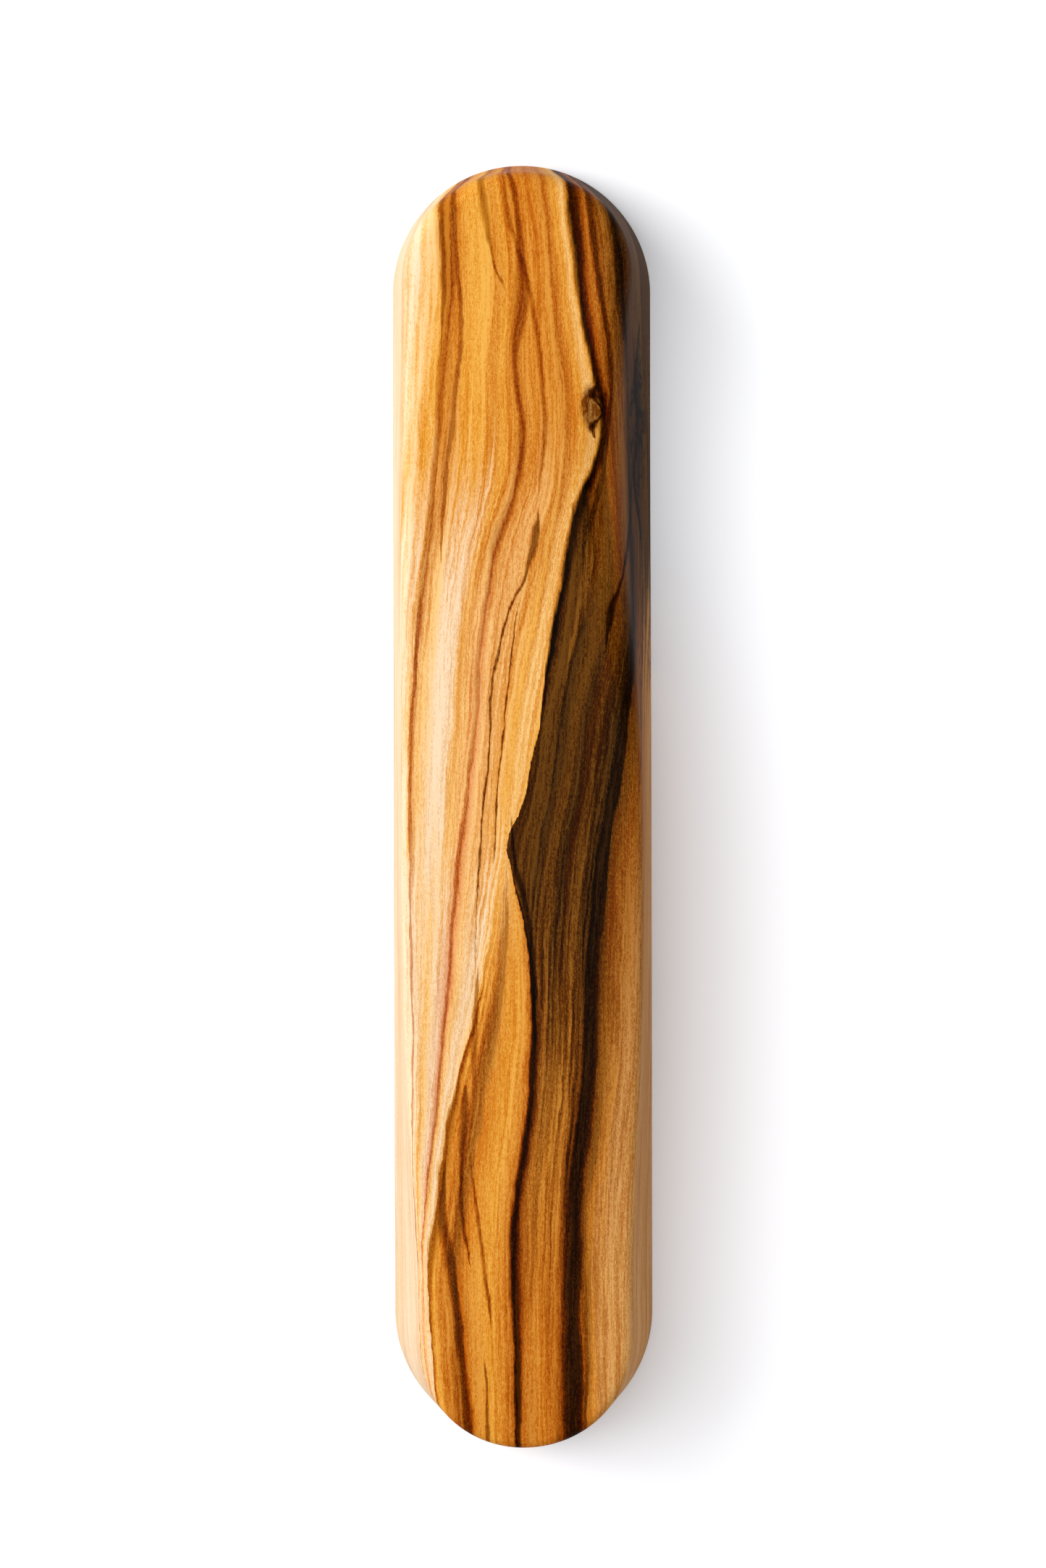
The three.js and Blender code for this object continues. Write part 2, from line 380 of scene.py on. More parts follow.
# The veins: a growth line or a route of its own, the half width along it, colour, strength, and how
# many times wider the left side is than the right.
VEINS = [
    ("brown_pair", [(-80, 0), (8, 0.0), (16, 0.2), (24, 0.35), (40, 0.5), (56, 0.6), (62, 1.1),
                    (80, 1.1)], TAN, 0.58, 1.3),
    ("brown_pair", [(-80, 0.08), (-50, 0.1), (-20, 0.16), (0, 0.2), (12, 0.3), (20, 0.2), (28, 0),
                    (80, 0)], RUST, 0.8, 1.3),
    ([(-80, -9.2), (46, -9.3), (56, -9.0), (64, -8.9), (72, -9.5), (80, -9.8)],
     [(-80, 0), (46, 0), (54, 0.12), (62, 0.35), (80, 0.4)], BROWN, 0.6, 1.0),
    ([(-80, -8.0), (30, -9.2), (38, -8.6), (46, -7.6), (54, -6.9), (62, -7.2), (70, -7.8),
      (80, -8.0)],
     [(-80, 0), (26, 0), (32, 0.25), (44, 0.3), (58, 0.3), (80, 0.4)], TAN, 0.8, 1.0),
    ("middle", [(-80, 0), (-45, 0.1), (-30, 0.25), (0, 0.3), (15, 0.25), (27, 0.35), (32, 0.6),
                (38, 0.4), (52, 0.4), (57, 0.8), (64, 0.4), (80, 0.3)], BROWN, 0.45, 1.6),
    ([(-80, 2.2), (34, 1.6), (42, 2.6), (48, 2.4), (55, 1.6), (61, 0.2), (67, -1.4), (80, -2.6)],
     [(-80, 0), (34, 0), (40, 0.25), (52, 0.3), (66, 0.25), (80, 0.25)], BROWN, 0.42, 1.2),
    ([(-80, -4.6), (50, -1.6), (57, -1.8), (64, -3.4), (70, -4.4), (80, -5.0)],
     [(-80, 0), (56, 0), (62, 0.2), (68, 0.6), (80, 0.5)], BROWN, 0.6, 1.0),
    ("heart_edge", [(-80, 0.7), (-62, 0.75), (-56, 1.2), (-50, 1.0), (-35, 0.9), (-24, 0.8),
                    (-14, 0.2), (8, 0.08), (14, 0.35), (24, 0.7), (34, 1.0), (46, 0.9), (58, 1.2),
                    (80, 1.5)], DARK, 0.88, 0.6),
    ([(-80, 2.0), (10, 4.3), (26, 7.2), (34, 8.7), (42, 9.8), (80, 10.0)],
     [(-80, 0), (12, 0), (20, 0.6), (28, 0.95), (36, 0.6), (42, 0), (80, 0)], OCHRE, 0.75, 1.0),
    ([(-80, 6.0), (26, 6.0), (34, 8.2), (42, 9.9), (50, 10.4), (58, 9.2), (66, 8.0), (80, 7.4)],
     [(-80, 0), (26, 0), (34, 0.3), (50, 0.35), (62, 0.5), (80, 0.5)], BROWN, 0.8, 1.0),
    ("long_vein", [(-80, 1.9), (-64, 1.6), (-50, 1.3), (-38, 1.0), (-20, 0.75), (-5, 0.6),
                   (10, 0.45), (24, 0.4), (32, 0.15), (38, 0.1), (54, 0.2), (66, 0.3), (80, 0.3)],
     SOOT, 0.86, 1.4),
    ("lens_left", [(-80, 0.3), (-62, 0.3), (-54, 0.5), (-46, 1.1), (-36, 1.0), (-24, 0.2),
                   (-10, 0.0), (80, 0.0)], BROWN, 0.6, 0.25),
    ([(-80, -6.0), (-70, -6.3), (-61, -7.1), (-56, -7.5), (-51, -8.3), (-46, -9.0), (-38, -8.6),
      (80, -8.0)],
     [(-80, 0.5), (-66, 0.5), (-58, 0.4), (-51, 0.6), (-44, 0.4), (-37, 0), (80, 0)],
     BROWN, 0.8, 1.4),
    ([(-80, -3.3), (-74, -4.0), (-62, -4.6), (-55, -5.4), (-48, -6.6), (-40, -6.9), (-34, -6.6),
      (80, -6.0)],
     [(-80, 0.3), (-66, 0.2), (-60, 0.0), (-54, 0.0), (-46, 0.3), (-38, 0.35), (-34, 0.5),
      (-30, 0.0), (80, 0.0)], BROWN, 0.75, 1.2),
    ([(-80, 1.0), (-40, 1.2), (-24, 1.2), (-12, 0.4), (-6, -0.7), (0, -1.3), (80, -1.6)],
     [(-80, 0), (-30, 0), (-22, 0.4), (-12, 0.4), (-5, 0.3), (2, 0), (80, 0)], DARK, 0.6, 1.0),
    ([(-80, -5.0), (-6, -5.0), (1, -4.4), (7, -3.8), (14, -3.4), (19, -2.4), (23, -1.3), (28, 0.8),
      (33, 1.7), (80, 2.0)],
     [(-80, 0), (-12, 0.08), (-4, 0.13), (8, 0.15), (14, 0.17), (22, 0.17), (26, 0.25), (30, 0.42),
      (35, 0), (80, 0)], BROWN, 0.85, 1.2),
    ([(-80, -3.6), (-5, -3.4), (1, -3.0), (9, -2.2), (14, -1.6), (20, -0.9), (27, 0.1), (80, 0.1)],
     [(-80, 0), (-8, 0), (-4, 0.1), (9, 0.14), (20, 0.12), (28, 0), (80, 0)], BROWN, 0.85, 1.0),
    ([(-80, -3.6), (-57, -3.9), (-52, -4.5), (-44, -5.5), (-36, -6.2), (80, -6.2)],
     [(-80, 0), (-60, 0), (-55, 0.2), (-48, 0.25), (-42, 0.15), (-36, 0), (80, 0)], TAN, 0.8, 1.4),
    ([(-80, -6.0), (-27, -5.6), (-20, -5.2), (80, -5.2)],
     [(-80, 0), (-36, 0.0), (-30, 0.2), (-25, 0.4), (-20, 0.25), (-16, 0), (80, 0)],
     TAN, 0.85, 1.3),
    ([(-80, 9.0), (16, 9.0), (22, 9.9), (28, 12.4), (34, 14.2), (80, 15.0)],
     [(-80, 0), (16, 0.0), (20, 0.25), (22.5, 0.6), (26, 0.3), (32, 0.5), (40, 0), (80, 0)],
     DARK, 0.7, 1.0),
    ([(-80, 8.4), (41.5, 8.6), (43.4, 8.1), (45, 9.4), (47, 8.3), (48.6, 8.8), (80, 9.4)],
     [(-80, 0), (41.8, 0), (43.4, 0.5), (44.6, 0.15), (46, 0.15), (47.3, 0.5), (48.6, 0), (80, 0)],
     DARK, 0.85, 1.6),
    ([(-80, 18), (28, 17.6), (34, 16.4), (39, 15.4), (44, 16.4), (49, 15.5), (55, 16.4),
      (80, 17.5)],
     [(-80, 0), (28, 0), (33, 0.5), (38, 0.7), (42, 0.25), (47, 0.7), (53, 0.3), (58, 0), (80, 0)],
     DARK, 0.8, 0.7),
]
print(len(VEINS), "veins")

# %% [markdown]
# The figure itself is a node group, so the polished outside and the bare routed hollows share it.
# Slow noise bends the growth lines, quick noise frays them, and stretched noise along the lines
# makes the streaks and the fine fibre, whose brightest specks are painted lighter as painted
# glints. Two dark knots are set in where small branches grew.

# %% The figure in space
FAN = 0.018  # how much wider the wood's own measure across gets for each millimetre of depth
HEART_WIDTH = 8.0
HEART_START = 4.0
LONG_VEIN = 5.0
LAST_LINE = 6
WIDEST_VEIN = 4.0

# Each knot: centre and radii in millimetres, and its colour.
KNOTS = [
    ((8.1, 45.6, 20.0), (1.35, 2.6, 5.0), OCHRE),
    ((15.0, 44.0, 9.0), (3.5, 10.0, 6.0), UMBER),
]


def growth_number(r, across, lines):
    """The number of the growth line at the left plus the share of the way to the next one. Right of
    the heart edge it follows the distance to the long vein instead, so the heart keeps its own even
    grain. Also gives that number without its limits, and whether the place is in the heart."""
    order = list(lines)
    sapwood = order[:order.index("heart_edge") + 1]
    steps = [r.share(across, lines[left], lines[right])
             for left, right in zip(sapwood[:-1], sapwood[1:])]
    number = reduce(r.plus, steps)
    from_vein = r.times(r.minus(across, lines["long_vein"]), 1 / HEART_WIDTH)
    heart_lane = r.plus(LONG_VEIN, from_vein)
    inside = r.math("MINIMUM", r.math("MAXIMUM", heart_lane, HEART_START + 0.02), LONG_VEIN)
    inside = r.plus(inside, r.share(across, lines["long_vein"], lines["outer_right"]))
    in_heart = r.math("GREATER_THAN", number, HEART_START - 0.001)
    return r.blend(in_heart, number, inside), r.blend(in_heart, number, heart_lane), in_heart


def banded_wood(r, y, number, in_heart, wander, thin):
    """Colour from the three ramps. The flame is the place along the case, shifted by the streaks,
    so one ramp gives way to the next in long tongues."""
    guard = r.ease(r.math("ABSOLUTE", r.minus(number, HEART_START)), 0.0, 0.3, 0.06, 1.0)
    band = r.times(r.plus(number, r.times(wander, guard)), 1 / LAST_LINE)

    def bands(stops):
        return r.ramp(band, [(place / LAST_LINE, tone) for place, tone in stops])

    flame = r.plus(y, r.times(r.plus(wander, r.centred(thin, 0.5)), 66.0))
    past_vein = r.ease(number, LONG_VEIN - 0.1, LONG_VEIN + 0.1)
    upper = r.blend(past_vein, r.ease(flame, 14.0, 44.0), r.ease(flame, 12.0, 28.0))
    lower = r.blend(in_heart, r.ease(flame, -2.0, -18.0), r.ease(flame, -4.0, -64.0))
    wood = r.mix(upper, bands(MIDDLE_BANDS), bands(TOP_BANDS))
    return r.mix(lower, wood, bands(BOTTOM_BANDS))


def distance_in_radii(r, place, centre, radii):
    """Distance from the centre of an egg shape, 1 at its surface: the square root of the sum of the
    squares of each offset over its radius."""
    terms = []
    for axis in range(3):
        offset = r.times(r.minus(place[axis], centre[axis]), 1 / radii[axis])
        terms.append(r.times(offset, offset))
    return r.math("SQRT", reduce(r.plus, terms))


def with_knots(r, wood, place, bend, quick):
    """Wood with the knots set in. Dark curls follow a sine of the distance and a slow noise."""
    x, y, z = place
    swirl = r.stretched_noise(place, (0.5, 0.35, 0.3), detail=1.0)
    for centre, radii, tone in KNOTS:
        reach = distance_in_radii(r, (r.plus(x, r.times(bend, 1.2)), y, z), centre, radii)
        reach = r.plus(reach, r.centred(quick, 0.7))
        curl = r.math("SINE", r.plus(r.times(reach, 3.0), r.times(swirl, 22.0)))
        core = r.ease(reach, 1.2, 0.7)
        wood = r.mix(r.times(core, 0.8), wood, tone)
        wood = r.gamma(wood, r.plus(1.0, r.times(r.times(core, r.ease(curl, 0.1, 1.0)), 0.45)))
    return wood


def with_veins(r, wood, across, along, lines, frayed):
    """Wood with the veins drawn in. Reach is the distance from a vein's centre over its half width,
    so the vein fades out as reach goes to 1, and the fraying moves that edge to and fro."""
    for path, widths, tone, strength, softness in VEINS:
        centre = lines[path] if isinstance(path, str) else route(r, along, path)
        points = [(y / LENGTH_SPAN + 0.5, width / WIDEST_VEIN) for y, width in widths]
        half_width = r.math("MAXIMUM", r.times(r.curve(along, points), WIDEST_VEIN), 0.01)
        offset = r.math("DIVIDE", r.minus(across, centre), half_width)
        reach = r.math("MAXIMUM", offset, r.times(offset, -1 / softness))
        reach = r.plus(reach, frayed)
        present = r.ease(half_width, 0.02, 0.12)
        amount = r.times(r.times(r.ease(reach, 1.2, 0.15), present), strength)
        wood = r.gamma(wood, r.plus(1.0, r.times(amount, 0.9)))
        wood = r.mix(r.math("POWER", amount, 1.5), wood, tone)
    return wood


def build_figure():
    """A node group that gives the wood's colour and its fibre height at every point."""
    group = bpy.data.node_groups.new("olive_figure", "ShaderNodeTree")
    group.interface.new_socket(name="Color", in_out="OUTPUT", socket_type="NodeSocketColor")
    group.interface.new_socket(name="Fibre", in_out="OUTPUT", socket_type="NodeSocketFloat")
    r = Recipe(group)
    place = x, y, z = r.split(r.place_in_mm())
    along = r.plus(r.times(y, 1 / LENGTH_SPAN), 0.5)
    lines = {name: route(r, along, places) for name, places in LINES.items()}

    slow = r.stretched_noise(place, (0.13, 0.045, 0.13), detail=1.0)
    quick = r.stretched_noise(place, (0.8, 0.13, 0.8), detail=3.0)
    fray = r.stretched_noise(place, (5.0, 0.7, 5.0))
    bend = r.plus(r.plus(r.centred(slow, 0.8), r.centred(quick, 0.9)), r.centred(fray, 0.35))
    fan = r.plus(1.0, r.times(r.minus(THICKNESS / MM, z), FAN))
    across = r.plus(r.times(x, fan), bend)
    number, lane, in_heart = growth_number(r, across, lines)

    in_lane = (lane, y, z)
    streak = r.stretched_noise(in_lane, (5.0, 0.018, 0.02), detail=4.0, roughness=0.6)
    thin = r.stretched_noise(in_lane, (21.0, 0.04, 0.06), detail=4.0, roughness=0.62)
    fine = r.stretched_noise(place, (5.5, 0.16, 5.5), detail=3.0, roughness=0.6)
    fleck = r.stretched_noise(place, (7.5, 2.2, 7.5), roughness=0.6)
    fibre = r.stretched_noise(place, (13.0, 5.0, 13.0))

    wander = r.plus(r.centred(streak, 0.42), r.centred(thin, 0.3))
    wood = banded_wood(r, y, number, in_heart, wander, thin)
    wood = with_knots(r, wood, place, bend, quick)
    frayed = r.plus(r.centred(thin, 1.3), r.centred(fine, 1.1))
    wood = with_veins(r, wood, across, along, lines, frayed)

    power = 1.0
    for part, weight in ((streak, 1.2), (thin, 1.2), (fine, 0.8), (fleck, 1.0), (fibre, 1.0)):
        power = r.plus(power, r.centred(part, weight))
    # The brightest fibre specks are painted lighter: painted glints that stand in for light caught
    # by the pores.
    power = r.minus(power, r.ease(fibre, 0.62, 0.74, 0.0, 0.3))
    wood = r.gamma(wood, r.math("MAXIMUM", power, 0.8))

    end = group.nodes.new("NodeGroupOutput")
    r.feed(end.inputs["Color"], wood)
    r.feed(end.inputs["Fibre"], r.plus(r.times(fibre, 0.6), r.times(fleck, 0.4)))
    return group


olive_figure = build_figure()
print("olive figure has", len(olive_figure.nodes), "nodes")

# %% [markdown]
# The outside is sanded fine and oiled. Thin oil sinks in and leaves only a faint, warm sheen, so
# both the specular level and the clear coat are very low, and the roughness follows the fibre. With
# more gloss the dark heart would mirror the pale studio and turn grey.

# %% Oiled and bare olive wood
def olive_material(name, roughness, coat, bump, bare_tint):
    """Olive wood from the shared figure. bare_tint is how much paler unoiled wood is."""
    material, r, shader = new_material(name)
    figure = r.node("ShaderNodeGroup", {"node_tree": olive_figure})
    tone = figure.outputs["Color"]
    if bare_tint:
        tone = r.mix(bare_tint, tone, PALE, "SCREEN")
    r.feed(shader.inputs["Base Color"], tone)
    fibre = figure.outputs["Fibre"]
    r.feed(shader.inputs["Roughness"], r.ease(fibre, 0.3, 0.7, roughness + 0.08, roughness - 0.06))
    r.bump(shader, bump, 0.00006, fibre)
    shader.inputs["Specular IOR Level"].default_value = 0.015
    shader.inputs["Specular Tint"].default_value = (1.0, 0.5, 0.2, 1)
    shader.inputs["Coat Weight"].default_value = coat
    shader.inputs["Coat Roughness"].default_value = 0.3
    return material


oiled_olive = olive_material("oiled_olive", roughness=0.5, coat=0.015, bump=0.3, bare_tint=0.0)
bare_olive = olive_material("bare_olive", roughness=0.62, coat=0.0, bump=0.8, bare_tint=0.12)
print("materials", oiled_olive.name, bare_olive.name)

# %% [markdown]
# ## The block
#
# The block is one smooth skin. Walk round the outline of the back, and at each step draw the same
# kind of section: up the leaning side, over a rounded edge and across the gently crowned front to
# the middle. A hand-sanded block is not perfectly even, so the lean and the rounding change slowly
# along the case. The hollows are cut out of the skin afterwards, because a router does that too.

# %% Grids into meshes
def wrapped_quads(rows, columns):
    """Faces between each row of points and the next, closed round each row."""
    row = np.arange(rows - 1)[:, None] * columns
    column = np.arange(columns)[None, :]
    after = (column + 1) % columns
    quads = np.stack([row + column, row + after, row + columns + after, row + columns + column], -1)
    return quads.reshape(-1, 4)


def mesh_object(name, points, faces, materials, weld=True):
    """A mesh object from points in metres. Equal points are welded and faces turned outwards."""
    mesh = bpy.data.meshes.new(name)
    mesh.from_pydata(np.asarray(points).reshape(-1, 3).tolist(), [], [list(f) for f in faces])
    work = bmesh.new()
    work.from_mesh(mesh)
    if weld:
        bmesh.ops.remove_doubles(work, verts=work.verts, dist=1e-7)
    bmesh.ops.recalc_face_normals(work, faces=work.faces)
    work.to_mesh(mesh)
    work.free()
    for material in materials:
        mesh.materials.append(material)
    made = bpy.data.objects.new(name, mesh)
    bpy.context.scene.collection.objects.link(made)
    return made


def loft(name, rings, materials):
    """A closed solid through a stack of rings, each with as many points, capped at both ends."""
    rings = np.asarray(rings, float)
    levels, count = rings.shape[:2]
    faces = [list(q) for q in wrapped_quads(levels, count)]
    faces.append(list(range(count)))
    faces.append(list(range((levels - 1) * count, levels * count)))
    return mesh_object(name, rings, faces, materials)


def soften(made, degrees=32):
    """Smooth shading, with a crease wherever two faces meet at more than this angle."""
    made.data.shade_smooth()
    made.data.set_sharp_from_angle(angle=math.radians(degrees))
    return made


def cut(target, tool, operation="DIFFERENCE"):
    """Cuts tool out of target, or keeps what both share, and throws the tool away."""
    modifier = target.modifiers.new("cut", "BOOLEAN")
    modifier.operation = operation
    modifier.solver = "EXACT"
    modifier.material_mode = "TRANSFER"
    modifier.object = tool
    bpy.context.view_layer.objects.active = target
    bpy.ops.object.modifier_apply(modifier=modifier.name)
    bpy.data.objects.remove(tool)


print("mesh helpers ready")

# %% The skin of the block
STRAIGHT_STEPS = 120
ARC_STEPS = 72
END_LEAN = 2.8  # this and the next three are in millimetres
CROWN = 0.5
END_DROP = 0.3
RIM = 0.35


def bell(y, centre, spread):
    """A smooth hump along the case, 1 at its centre, in millimetres."""
    return np.exp(-(((y - centre) / spread) ** 2))


def outline():
    """The outline of the back: points and outward directions, anticlockwise from lower right."""
    side = np.linspace(-ARC_CENTRE, ARC_CENTRE, STRAIGHT_STEPS, endpoint=False)
    turn = np.linspace(0, math.pi, ARC_STEPS, endpoint=False)
    ones = np.ones_like(side)
    x = np.concatenate([HALF_WIDTH * ones, HALF_WIDTH * np.cos(turn), -HALF_WIDTH * ones,
                        -HALF_WIDTH * np.cos(turn)])
    y = np.concatenate([side, ARC_CENTRE + HALF_WIDTH * np.sin(turn), -side,
                        -ARC_CENTRE - HALF_WIDTH * np.sin(turn)])
    out_x = np.concatenate([ones, np.cos(turn), -ones, -np.cos(turn)])
    out_y = np.concatenate([0 * side, np.sin(turn), 0 * side, -np.sin(turn)])
    return x, y, out_x, out_y


def block_points():
    """Rows of points from the middle of the back, out to its rim, up the side, over the front edge
    and in to the middle of the front. Inset is the distance in from the outline. The side climbs
    straight from inset 0 to the lean, a quadratic Bezier curve rounds the edge, and the front rises
    from its edge by the square of the distance to the middle."""
    x, y, out_x, out_y = outline()
    at = y / MM
    side_share = out_x ** 2
    right = out_x > 0
    lean_right = 1.5 + 3.3 * bell(at, 40, 23) + 1.5 * bell(at, -58, 26)
    lean_left = 1.5 + 2.0 * bell(at, -58, 24) + 0.3 * bell(at, 60, 16)
    lean = side_share * np.where(right, lean_right, lean_left) + (1 - side_share) * END_LEAN
    round_right = 1.2 + 3.2 * bell(at, 38, 25)
    round_left = 1.2 + 0.9 * bell(at, 52, 26)
    round_end = np.where(out_y > 0, 2.0, 0.9)
    rounding = side_share * np.where(right, round_right, round_left) + (1 - side_share) * round_end
    top = THICKNESS / MM - END_DROP * (at / (HALF_LENGTH / MM)) ** 2
    width = HALF_WIDTH / MM

    def section(inset, height):
        scaled = inset * MM
        return np.stack([x - out_x * scaled, y - out_y * scaled, height * MM], -1)

    def front(inset):
        return top - CROWN * ((width - inset) / (width - lean)) ** 2

    flat = np.zeros_like(x)
    rows = [section(flat + width, flat), section(flat + RIM, flat), section(flat + 0.1, flat + 0.1)]
    corner_height = front(lean)
    climb = np.hypot(lean, corner_height)
    start_inset = lean * (1 - rounding / climb)
    start_height = corner_height * (1 - rounding / climb)
    for share in np.linspace(0, 1, 14):
        height = RIM + (start_height - RIM) * share
        rows.append(section(start_inset * height / start_height, height))
    end_inset = lean + rounding
    end_height = front(end_inset)
    for t in np.linspace(0, 1, 16)[1:]:
        inset = (1 - t) ** 2 * start_inset + 2 * t * (1 - t) * lean + t ** 2 * end_inset
        height = (1 - t) ** 2 * start_height + 2 * t * (1 - t) * corner_height + t ** 2 * end_height
        rows.append(section(inset, height))
    for t in np.linspace(0, 1, 16)[1:]:
        inset = end_inset + (width - end_inset) * t
        rows.append(section(inset, front(inset)))
    return np.stack(rows)


def make_block(name):
    points = block_points()
    return mesh_object(name, points, wrapped_quads(*points.shape[:2]), [oiled_olive, bare_olive])


body = make_block("olive_body")
print("block:", len(body.data.vertices), "points")

# %% [markdown]
# ## The groove and the pocket
#
# A dovetail groove for the sliding back runs in from the bottom end, and a round-cornered pocket
# for the scroll is sunk from its floor. Both shapes are stacks of flat outlines, one above the
# other. A dovetail's outlines grow with depth. The lip of the groove is eased by a quarter of a
# millimetre, and the deep edge of the pocket by 0.6 millimetre.

# %% Cut the groove and the pocket
CLEARANCE = 0.0002
DOVETAIL_SLOPE = 0.25
EDGE_EASE = 0.00025
OUTSIDE = 0.001  # how far each cutting tool reaches past the face it cuts
PAST_BOTTOM = -HALF_LENGTH - 0.005
sleeve_low, sleeve_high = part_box("scroll_sleeve")
POCKET_GAP = 0.0006
POCKET_END_GAP = 0.0026
POCKET_CORNER = 0.002
POCKET_EASE = 0.0006
POCKET_HALF_WIDTH = sleeve_high.x + POCKET_GAP
POCKET_HALF_LENGTH = sleeve_high.y + POCKET_END_GAP
POCKET_TOP = sleeve_high.z + POCKET_GAP
SLIDE_THICKNESS = slide_high.z
slide_half_width = slide_high.x - SLIDE_THICKNESS * DOVETAIL_SLOPE
slide_round_y = slide_high.y - slide_high.x


def strip_outline(half_width, bottom_y):
    """A strip of this half width with a half-round top end, its straight sides running down."""
    turn = np.linspace(0, math.pi, 49)
    x = np.concatenate([half_width * np.cos(turn), [-half_width, half_width]])
    y = np.concatenate([slide_round_y + half_width * np.sin(turn), [bottom_y, bottom_y]])
    return x, y


def strip_stack(levels, bottom_y):
    """Rings for loft: one strip outline at each (height, half width)."""
    rings = []
    for height, half_width in levels:
        x, y = strip_outline(half_width, bottom_y)
        rings.append(np.stack([x, y, np.full_like(x, height)], -1))
    return rings


def pocket_ring(half_width, half_length, corner, height):
    """A rectangle with rounded corners at one height."""
    turn = np.linspace(0, math.pi / 2, 9)
    x, y = [], []
    for quarter, (sx, sy) in enumerate([(1, 1), (-1, 1), (-1, -1), (1, -1)]):
        angle = turn + quarter * math.pi / 2
        x.append(sx * (half_width - corner) + corner * np.cos(angle))
        y.append(sy * (half_length - corner) + corner * np.sin(angle))
    x, y = np.concatenate(x), np.concatenate(y)
    return np.stack([x, y, np.full_like(x, height)], -1)


gap = CLEARANCE * math.hypot(1, DOVETAIL_SLOPE)
groove_half = slide_half_width + gap
groove_floor = SLIDE_THICKNESS + CLEARANCE
groove_levels = [
    (-OUTSIDE, groove_half + EDGE_EASE + OUTSIDE),
    (EDGE_EASE, groove_half + DOVETAIL_SLOPE * EDGE_EASE),
    (groove_floor, groove_half + DOVETAIL_SLOPE * groove_floor),
]
groove = loft("groove", strip_stack(groove_levels, PAST_BOTTOM), [bare_olive])
cut(body, groove)

pocket_rings = [
    pocket_ring(POCKET_HALF_WIDTH, POCKET_HALF_LENGTH, POCKET_CORNER, SLIDE_THICKNESS / 2),
    pocket_ring(POCKET_HALF_WIDTH, POCKET_HALF_LENGTH, POCKET_CORNER, POCKET_TOP - POCKET_EASE),
    pocket_ring(POCKET_HALF_WIDTH - POCKET_EASE, POCKET_HALF_LENGTH - POCKET_EASE,
                POCKET_CORNER - POCKET_EASE, POCKET_TOP),
]
pocket = loft("pocket", pocket_rings, [bare_olive])
cut(body, pocket)
soften(body)
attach(body, "case")
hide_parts("case_body")
print("case body:", len(body.data.polygons), "faces")

# %% [markdown]
# ## The sliding back
#
# The slide is cut from a second copy of the block, so its bottom end carries the outline of the
# case on exactly. Keeping only what the block and a dovetail strip share gives its shape. Then come
# two countersunk screw holes, a thumb notch for pushing it, and two shallow recesses for the foam
# tape.

# %% The slide
slide = make_block("olive_slide")
strip = loft("strip", strip_stack([
    (-OUTSIDE, slide_half_width - OUTSIDE - EDGE_EASE),
    (EDGE_EASE, slide_half_width + DOVETAIL_SLOPE * EDGE_EASE),
    (SLIDE_THICKNESS - EDGE_EASE,
     slide_half_width + DOVETAIL_SLOPE * (SLIDE_THICKNESS - EDGE_EASE)),
    (SLIDE_THICKNESS, slide_half_width + DOVETAIL_SLOPE * SLIDE_THICKNESS - EDGE_EASE),
], PAST_BOTTOM), [bare_olive])
cut(slide, strip, "INTERSECT")


def turned(name, place, profile, materials, steps=48):
    """A solid turned about a vertical axis at place, through (radius, height) pairs."""
    turn = np.linspace(0, 2 * math.pi, steps, endpoint=False)
    rings = [np.stack([place[0] + r * np.cos(turn), place[1] + r * np.sin(turn),
                       np.full_like(turn, h)], -1) for r, h in profile]
    return loft(name, rings, materials)


SCREW_Y = 0.05827  # from the middle of the case to each screw, as in the CAD model
SCREW_RADIUS = 0.00175
HEAD_RADIUS = 0.0034
HEAD_DEPTH = 0.0018
for side in (-1, 1):
    hole = turned("hole", (0, side * SCREW_Y), [
        (SCREW_RADIUS, -OUTSIDE), (SCREW_RADIUS, SLIDE_THICKNESS - HEAD_DEPTH),
        (HEAD_RADIUS, SLIDE_THICKNESS), (HEAD_RADIUS, SLIDE_THICKNESS + OUTSIDE)], [bare_olive])
    cut(slide, hole)

NOTCH_Y = -HALF_LENGTH + 0.007
NOTCH_RADII = (0.0055, 0.0026, 0.0012)
around = np.linspace(0, 2 * math.pi, 40, endpoint=False)
down = np.linspace(-math.pi / 2, math.pi / 2, 17)[1:-1]
notch = loft("notch", [np.stack([
    NOTCH_RADII[0] * math.cos(t) * np.cos(around),
    NOTCH_Y + NOTCH_RADII[1] * math.cos(t) * np.sin(around),
    np.full_like(around, NOTCH_RADII[2] * math.sin(t))], -1) for t in down], [bare_olive])
cut(slide, notch)

PAD_CORNER = 0.0012
RECESS_GAP = 0.0004
pads = {"upper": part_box("upper_tape_pad"), "lower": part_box("lower_tape_pad")}
liners = {"upper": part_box("upper_liner"), "lower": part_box("lower_liner")}
for low, high in pads.values():
    middle = (low + high) / 2
    half = (high - low) / 2
    rings = [pocket_ring(half.x + RECESS_GAP, half.y + RECESS_GAP, PAD_CORNER, height)
             for height in (-OUTSIDE, high.z)]
    for ring in rings:
        ring[:, 1] += middle.y
    cut(slide, loft("recess", rings, [bare_olive]))
soften(slide)
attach(slide, "slide")
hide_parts("back_slide")
print("slide:", len(slide.data.polygons), "faces")

# %% [markdown]
# ## The parchment
#
# A parchment for a mezuzah is rolled from its left edge with the writing inside, so the roll shows
# only its blank back. The roll is a real spiral here: a strip with a thin section is swept along a
# path whose radius grows with every turn. Its two long edges wave a little, as cut skin does.

